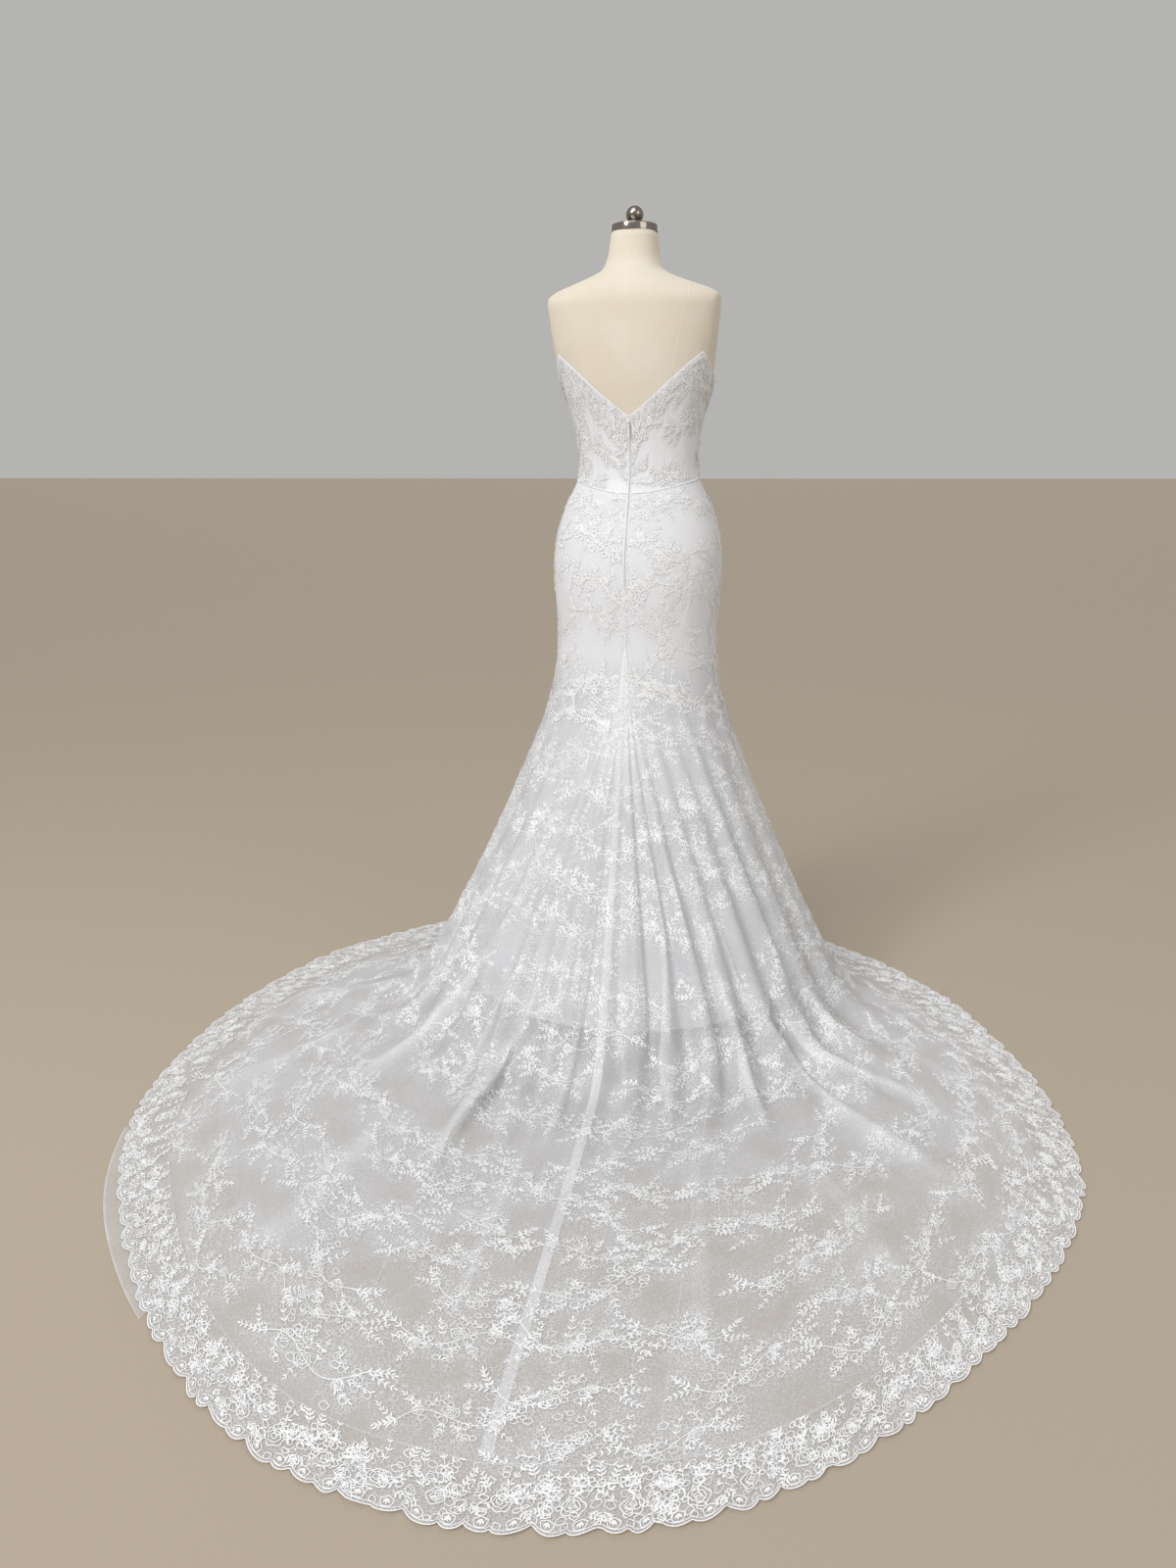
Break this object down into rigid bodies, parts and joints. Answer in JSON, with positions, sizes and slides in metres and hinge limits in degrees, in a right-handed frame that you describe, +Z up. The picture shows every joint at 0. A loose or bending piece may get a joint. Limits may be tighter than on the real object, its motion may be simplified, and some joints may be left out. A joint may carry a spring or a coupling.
{
  "type": "wedding dress on a dress form",
  "caption": "Strapless fit-and-flare lace wedding dress with a low V back, a closed back zip and a long scalloped train spread on the floor, standing on a limbless linen dress form.",
  "frame": {"origin": "centre of the stand base's flat underside, on the floor", "axes": "+Z up along the form's pole; the wearer faces -Y and the train runs out along +Y; +X is the wearer's left"},
  "size_m": [1.6553, 1.919, 1.587],
  "materials": {
    "lace": "white lace over a matt satin lining",
    "border_lace": "dense white corded lace",
    "tulle": "plain sheer tulle",
    "linen": "cream linen cover",
    "steel": "polished",
    "enamel": "satin black",
    "zip_cloth": "woven tape",
    "zip_metal": "white lacquer"
  },
  "bodies": {
    "dress_on_form": {"bodice_back_left": "lace", "bodice_back_right": "lace", "bodice_side_left": "lace", "bodice_side_right": "lace", "bodice_cup_left": "lace", "bodice_cup_right": "lace", "bodice_front": "lace", "skirt_back_left": "lace", "skirt_back_right": "lace", "skirt_front": "lace", "train_godet_left": "lace", "train_godet_right": "lace", "hem_lace_left": "border_lace", "hem_lace_right": "border_lace", "hem_lace_front": "border_lace", "tulle_underlay": "tulle", "zip_tape": "zip_cloth", "zip_slider": "zip_metal", "form_torso": "linen", "form_neck_cap": "steel", "form_finial": "steel", "form_pole": "steel", "form_base": "enamel"},
    "zip_pull": {"zip_pull_tab": "zip_metal"}
  },
  "joints": [
    {"name": "zip_pull_swing", "type": "hinge", "parent": "dress_on_form", "child": "zip_pull", "pos_m": [0.00177, 0.10049, 1.1891], "axis": [1, 0, 0], "range_deg": [0, 150]}
  ]
}
